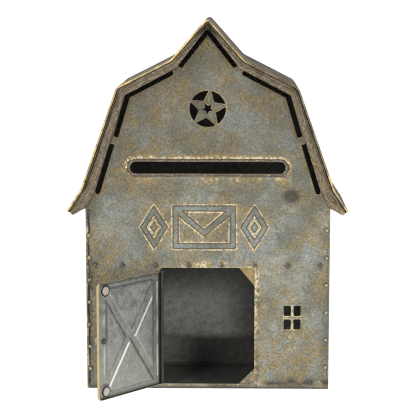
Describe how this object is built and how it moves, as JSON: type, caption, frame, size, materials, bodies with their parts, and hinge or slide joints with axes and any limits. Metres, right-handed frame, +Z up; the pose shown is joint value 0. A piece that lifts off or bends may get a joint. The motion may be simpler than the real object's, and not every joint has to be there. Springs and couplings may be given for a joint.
{
  "type": "wall mounted mailbox",
  "caption": "Barn-shaped sheet steel wall mailbox with a letter slot under a gambrel roof and a hinged magnetic door low on its front.",
  "frame": {"origin": "midway between the round parts of the two hanging keyholes, on the back panel's rear face", "axes": "+X to the right seen from the front, +Y into the wall, +Z up"},
  "size_m": [0.2768, 0.178, 0.3708],
  "materials": {
    "patina_steel": "aged galvanised grey with ochre rubbing",
    "cove_brown": "rough brown patina",
    "trim_gold": "brassy rubbed edge",
    "roof_grey": "grey-brown patina",
    "inside_grey": "dull grey",
    "bezel_bronze": "worn bronze",
    "rivet_steel": "worn heads",
    "gusset_ochre": "ochre patina",
    "hinge_steel": "dark worn steel",
    "door_zinc": "pressed galvanised sheet",
    "cup_black": "black",
    "magnet_nickel": "nickel plate",
    "knob_brass": "satin"
  },
  "bodies": {
    "housing": {"front_panel": "patina_steel", "letter_slot_bezel": "bezel_bronze", "gable_cove_left": "cove_brown", "gable_cove_right": "cove_brown", "edge_trim_left": "trim_gold", "edge_trim_right": "trim_gold", "roof_sheet": "roof_grey", "side_wall_left": "patina_steel", "side_wall_right": "patina_steel", "floor_pan": "inside_grey", "back_panel": "inside_grey", "header_strap": "inside_grey", "side_rivets_left": "rivet_steel", "side_rivets_right": "rivet_steel", "header_rivets": "rivet_steel", "strike_gusset_top": "gusset_ochre", "strike_gusset_bottom": "gusset_ochre", "frame_hinge_leaf": "hinge_steel", "hinge_pin": "hinge_steel"},
    "door": {"door_panel": "door_zinc", "door_knuckle_top": "hinge_steel", "door_knuckle_bottom": "hinge_steel", "magnet_cup_top": "cup_black", "magnet_cup_bottom": "cup_black", "door_magnet_top": "magnet_nickel", "door_magnet_bottom": "magnet_nickel", "door_knob": "knob_brass", "knob_washer": "hinge_steel"}
  },
  "joints": [
    {"name": "door_hinge", "type": "hinge", "parent": "housing", "child": "door", "pos_m": [-0.0457, -0.10645, 0], "axis": [0, 0, 1], "range_deg": [-30, 130]}
  ]
}
